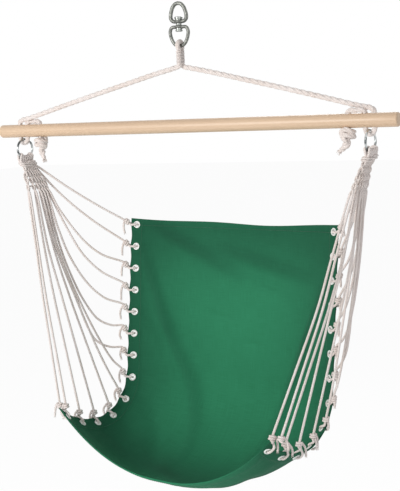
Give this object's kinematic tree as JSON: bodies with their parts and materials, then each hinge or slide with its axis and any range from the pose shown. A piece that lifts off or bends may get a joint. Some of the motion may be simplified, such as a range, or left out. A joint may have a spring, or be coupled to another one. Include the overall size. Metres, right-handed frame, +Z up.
{
  "type": "hammock chair",
  "caption": "Hanging hammock chair: a hemmed canvas seat laced by doubled cotton cords to steel rings under a wooden spreader bar, hung from a rope and a swivel.",
  "frame": {"origin": "inside top of the upper swivel eye, where a hook bears", "axes": "+Z up; X along the spreader bar; the seat's open front looks along -Y, and the seat hangs turned 9 degrees about Z, its +X side further forward"},
  "size_m": [1, 0.3844, 1.0486],
  "materials": {
    "swivel_steel": "satin",
    "ring_steel": "polished",
    "cotton_rope": "matt twisted cotton",
    "cotton_cord": "matt twisted cotton",
    "bar_wood": "smooth, clear varnish",
    "seat_canvas": "matt canvas weave",
    "eyelet_white": "gloss"
  },
  "bodies": {
    "upper_eye": {"swivel_upper_eye": "swivel_steel"},
    "lower_swivel": {"swivel_lower_eye": "swivel_steel", "swivel_pin": "swivel_steel"},
    "hanger": {"suspension_rope": "cotton_rope", "rope_whipping": "cotton_rope", "spreader_bar": "bar_wood"},
    "seat": {"seat_cloth": "seat_canvas", "left_neck_binding": "cotton_cord", "right_neck_binding": "cotton_cord", "left_harness_cord_1": "cotton_cord", "left_harness_cord_2": "cotton_cord", "left_harness_cord_3": "cotton_cord", "left_harness_cord_4": "cotton_cord", "left_harness_cord_5": "cotton_cord", "left_harness_cord_6": "cotton_cord", "left_harness_cord_7": "cotton_cord", "right_harness_cord_1": "cotton_cord", "right_harness_cord_2": "cotton_cord", "right_harness_cord_3": "cotton_cord", "right_harness_cord_4": "cotton_cord", "right_harness_cord_5": "cotton_cord", "right_harness_cord_6": "cotton_cord", "right_harness_cord_7": "cotton_cord", "left_eyelet_1": "eyelet_white", "left_eyelet_2": "eyelet_white", "left_eyelet_3": "eyelet_white", "left_eyelet_4": "eyelet_white", "left_eyelet_5": "eyelet_white", "left_eyelet_6": "eyelet_white", "left_eyelet_7": "eyelet_white", "left_eyelet_8": "eyelet_white", "left_eyelet_9": "eyelet_white", "left_eyelet_10": "eyelet_white", "left_eyelet_11": "eyelet_white", "left_eyelet_12": "eyelet_white", "left_eyelet_13": "eyelet_white", "right_eyelet_1": "eyelet_white", "right_eyelet_2": "eyelet_white", "right_eyelet_3": "eyelet_white", "right_eyelet_4": "eyelet_white", "right_eyelet_5": "eyelet_white", "right_eyelet_6": "eyelet_white", "right_eyelet_7": "eyelet_white", "right_eyelet_8": "eyelet_white", "right_eyelet_9": "eyelet_white", "right_eyelet_10": "eyelet_white", "right_eyelet_11": "eyelet_white", "right_eyelet_12": "eyelet_white", "right_eyelet_13": "eyelet_white"},
    "left_ring": {"left_ring": "ring_steel"},
    "right_ring": {"right_ring": "ring_steel"}
  },
  "joints": [
    {"name": "swivel_spin", "type": "hinge", "parent": "upper_eye", "child": "lower_swivel", "pos_m": [0, 0, -0.0385], "axis": [0, 0, 1], "continuous": true},
    {"name": "chair_swing", "type": "hinge", "parent": "lower_swivel", "child": "hanger", "pos_m": [0, 0, -0.0873], "axis": [1, 0, 0], "range_deg": [-25, 25]},
    {"name": "seat_swing", "type": "hinge", "parent": "hanger", "child": "seat", "pos_m": [0, 0, -0.2889], "axis": [1, 0, 0], "range_deg": [-18, 18]},
    {"name": "left_ring_turn", "type": "hinge", "parent": "seat", "child": "left_ring", "pos_m": [-0.437, 0, -0.303], "axis": [0.9781, -0.2079, 0], "continuous": true},
    {"name": "right_ring_turn", "type": "hinge", "parent": "seat", "child": "right_ring", "pos_m": [0.437, 0, -0.303], "axis": [0.9976, -0.0698, 0], "continuous": true}
  ]
}
